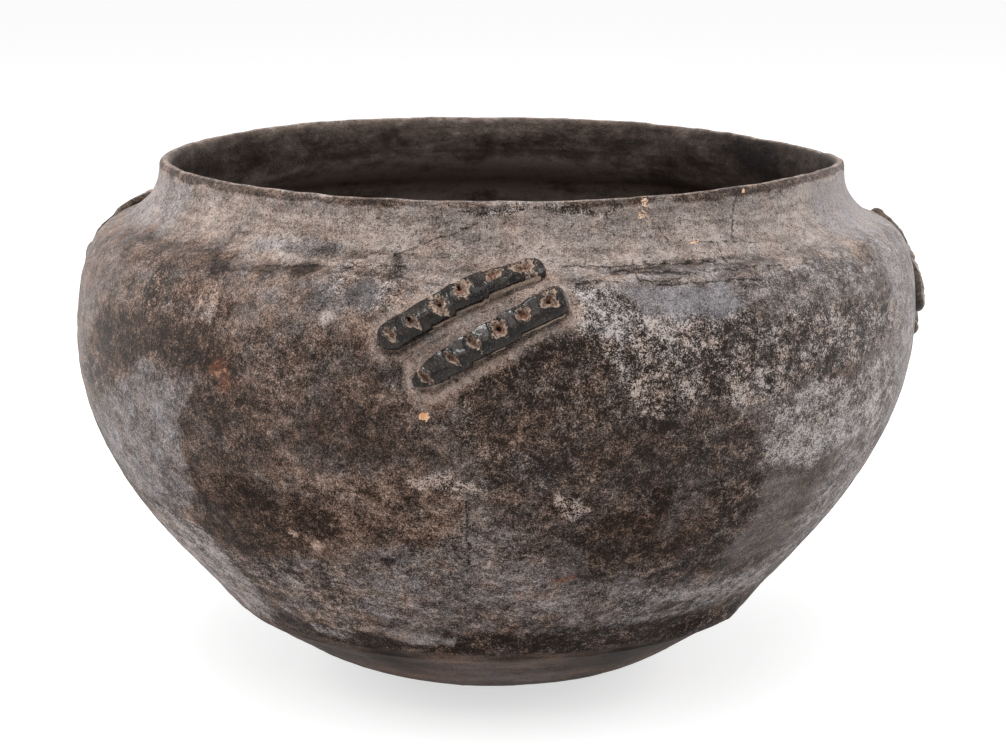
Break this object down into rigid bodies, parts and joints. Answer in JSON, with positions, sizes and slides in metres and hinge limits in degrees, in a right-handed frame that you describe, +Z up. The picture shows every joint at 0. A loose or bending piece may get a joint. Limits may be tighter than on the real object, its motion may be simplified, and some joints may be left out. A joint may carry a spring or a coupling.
{
  "type": "pottery cooking pot",
  "caption": "Hand-built round-bottomed clay cooking pot with a wide mouth, short concave neck and pairs of pinched clay strips on the shoulder.",
  "frame": {"origin": "middle of the pot's footprint, on the plane that the foot rests on", "axes": "+Z up through the mouth, the foot on z = 0, the front pair of strips faces -Y"},
  "size_m": [0.3053, 0.3064, 0.188],
  "materials": {
    "base_clay": "smoke-blackened brown fired clay, worn smooth",
    "wall_clay": "smoked grey-brown fired clay with pale crust",
    "shoulder_clay": "smoked grey-brown fired clay, speckled with pale crust",
    "neck_clay": "pale pinkish-grey fired clay with dark speckle",
    "cordon_clay": "burnished black clay with pale pinched pits"
  },
  "bodies": {
    "root": {"base_bowl": "base_clay", "lower_wall": "wall_clay", "shoulder_wall": "shoulder_clay", "neck_rim": "neck_clay", "cordon_front_upper": "cordon_clay", "cordon_front_lower": "cordon_clay", "cordon_right_upper": "cordon_clay", "cordon_right_lower": "cordon_clay", "cordon_back_upper": "cordon_clay", "cordon_back_lower": "cordon_clay", "cordon_left_upper": "cordon_clay", "cordon_left_lower": "cordon_clay"}
  },
  "joints": []
}
